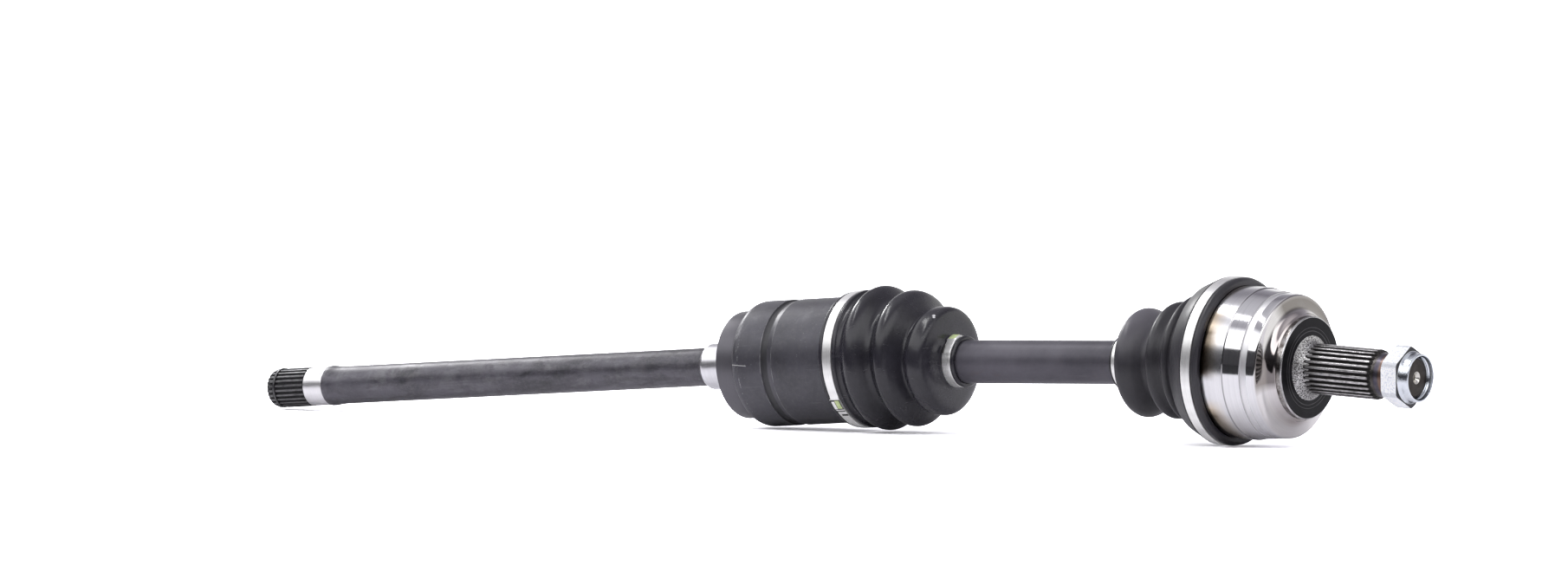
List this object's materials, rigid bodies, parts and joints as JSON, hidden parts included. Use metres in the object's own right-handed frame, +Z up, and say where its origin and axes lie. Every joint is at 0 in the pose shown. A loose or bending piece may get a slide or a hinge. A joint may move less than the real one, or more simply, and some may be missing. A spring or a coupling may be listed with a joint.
{
  "type": "cv axle shaft",
  "caption": "Front axle drive shaft with a plunging tripod joint in a can on a long splined stub, a bar, a booted ball joint and a splined wheel stub with its nut.",
  "frame": {"origin": "centre of the flat end face of the gearbox stub", "axes": "+X from the gearbox end towards the wheel end along the bench, +Z up off the bench; the three shaft axes lie in the XZ plane as they rest"},
  "size_m": [0.8471, 0.0996, 0.0992],
  "materials": {
    "forged_steel": "dark phosphate over forged and turned steel",
    "turned_steel": "bright turned steel with heat tint",
    "shield_steel": "smooth dark grey",
    "clamp_steel": "bright stainless strip",
    "bearing_steel": "ground and hardened",
    "zinc_steel": "zinc plated",
    "boot_rubber": "semi-gloss black",
    "boot_elastomer": "matte grey-black"
  },
  "bodies": {
    "gearbox_stub": {"inner_housing": "forged_steel", "gearbox_circlip": "bearing_steel", "dust_shield": "shield_steel", "inner_boot_large_clamp": "clamp_steel", "stop_ring": "bearing_steel", "thrust_spring": "bearing_steel", "inner_boot": "boot_rubber"},
    "thrust_cap": {"thrust_cap": "bearing_steel"},
    "roller_a": {"tripod_roller_a": "bearing_steel", "needle_set_a": "bearing_steel"},
    "axle_shaft": {"axle_shaft": "forged_steel", "tripod_spider": "forged_steel", "roller_clip_a": "bearing_steel", "roller_clip_b": "bearing_steel", "roller_clip_c": "bearing_steel", "tripod_circlip": "bearing_steel", "inner_boot_small_clamp": "clamp_steel", "outer_boot_small_clamp": "clamp_steel", "inner_race": "bearing_steel", "race_circlip": "bearing_steel"},
    "roller_b": {"tripod_roller_b": "bearing_steel", "needle_set_b": "bearing_steel"},
    "roller_c": {"tripod_roller_c": "bearing_steel", "needle_set_c": "bearing_steel"},
    "ball_1": {"ball_1": "bearing_steel"},
    "cage": {"ball_cage": "bearing_steel", "ball_2": "bearing_steel", "ball_3": "bearing_steel", "ball_5": "bearing_steel", "ball_6": "bearing_steel"},
    "ball_4": {"ball_4": "bearing_steel"},
    "wheel_stub": {"outer_bell": "turned_steel", "outer_boot_large_clamp": "clamp_steel", "outer_boot": "boot_elastomer"},
    "axle_nut": {"axle_nut": "zinc_steel"}
  },
  "joints": [
    {"name": "plunge", "type": "slide", "parent": "gearbox_stub", "child": "thrust_cap", "axis": [0.9977, 0, 0.0682], "range_m": [-0.015, 0.012], "deforming": ["inner_boot", "thrust_spring"]},
    {"name": "inner_yaw", "type": "hinge", "parent": "thrust_cap", "child": "roller_a", "pos_m": [0.41902, 0, 0.02864], "axis": [-0.0682, 0, 0.9977], "range_deg": [-14, 14], "deforming": ["inner_boot"]},
    {"name": "inner_pitch", "type": "hinge", "parent": "roller_a", "child": "axle_shaft", "pos_m": [0.41902, 0, 0.02864], "axis": [0, 1, 0], "range_deg": [-16.54, 11.46], "deforming": ["inner_boot"]},
    {"name": "roller_b_roll", "type": "hinge", "parent": "axle_shaft", "child": "roller_b", "pos_m": [0.41902, 0, 0.02864], "axis": [-0.0207, -0.5, 0.8658], "range_deg": [-62, 50]},
    {"name": "roller_c_roll", "type": "hinge", "parent": "axle_shaft", "child": "roller_c", "pos_m": [0.41902, 0, 0.02864], "axis": [0.0207, -0.5, -0.8658], "range_deg": [-62, 50]},
    {"name": "cage_yaw", "type": "hinge", "parent": "axle_shaft", "child": "ball_1", "pos_m": [0.73133, 0, 0.03612], "axis": [-0.0239, 0, 0.9997], "range_deg": [-20, 20], "deforming": ["outer_boot"]},
    {"name": "cage_pitch", "type": "hinge", "parent": "ball_1", "child": "cage", "pos_m": [0.73133, 0, 0.03612], "axis": [0, 1, 0], "range_deg": [-12.09, 7.92], "deforming": ["outer_boot"]},
    {"name": "wheel_pitch", "type": "hinge", "parent": "cage", "child": "ball_4", "pos_m": [0.73133, 0, 0.03612], "axis": [0, 1, 0], "range_deg": [-12.09, 7.92], "deforming": ["outer_boot"]},
    {"name": "wheel_yaw", "type": "hinge", "parent": "ball_4", "child": "wheel_stub", "pos_m": [0.73133, 0, 0.03612], "axis": [0.0488, 0, 0.9988], "range_deg": [-20, 20], "deforming": ["outer_boot"]},
    {"name": "nut_spin", "type": "hinge", "parent": "wheel_stub", "child": "axle_nut", "pos_m": [0.83121, 0, 0.03123], "axis": [0.9988, 0, -0.0488], "continuous": true}
  ],
  "couplings": [
    {"joint": "roller_b_roll", "follows": "plunge", "rad_per_m": 71.429},
    {"joint": "roller_c_roll", "follows": "plunge", "rad_per_m": 71.429},
    {"joint": "cage_yaw", "follows": "wheel_yaw", "ratio": 1},
    {"joint": "cage_pitch", "follows": "wheel_pitch", "ratio": 1}
  ]
}
